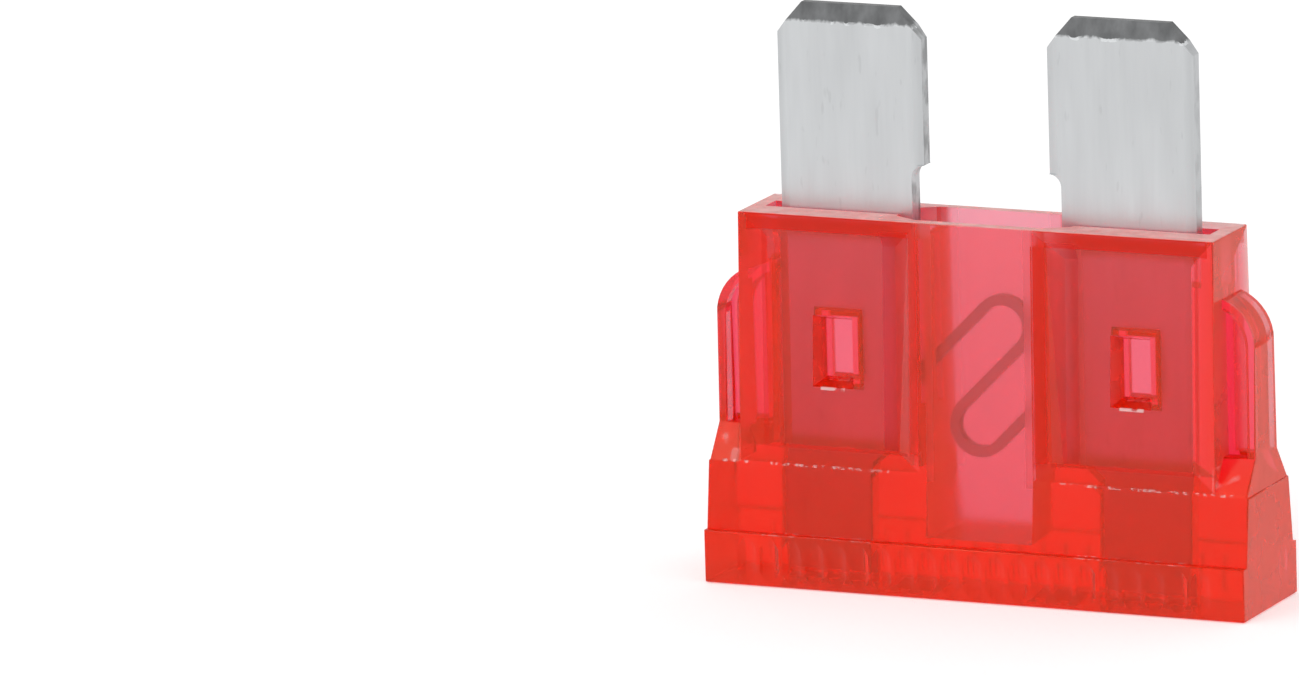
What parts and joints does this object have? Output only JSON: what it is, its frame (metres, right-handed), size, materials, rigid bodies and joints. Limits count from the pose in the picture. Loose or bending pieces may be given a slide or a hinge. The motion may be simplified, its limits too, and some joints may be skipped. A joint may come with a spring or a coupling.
{
  "type": "automotive blade fuse",
  "caption": "Regular-size blade fuse: transparent red moulded housing with ears and a fluted grip band, holding a stamped element with flat blades and an S-shaped link.",
  "frame": {"origin": "centre of the head's flat end, on which the fuse stands", "axes": "+Z towards the blade tips, +X along the width, -Y towards the front face that the picture shows"},
  "size_m": [0.0188, 0.0044, 0.0189],
  "materials": {
    "housing_plastic": "glossy transparent red, moulded",
    "element_metal": "bright zinc alloy with fine lines along the blades"
  },
  "bodies": {
    "root": {"housing": "housing_plastic", "element": "element_metal"}
  },
  "joints": []
}
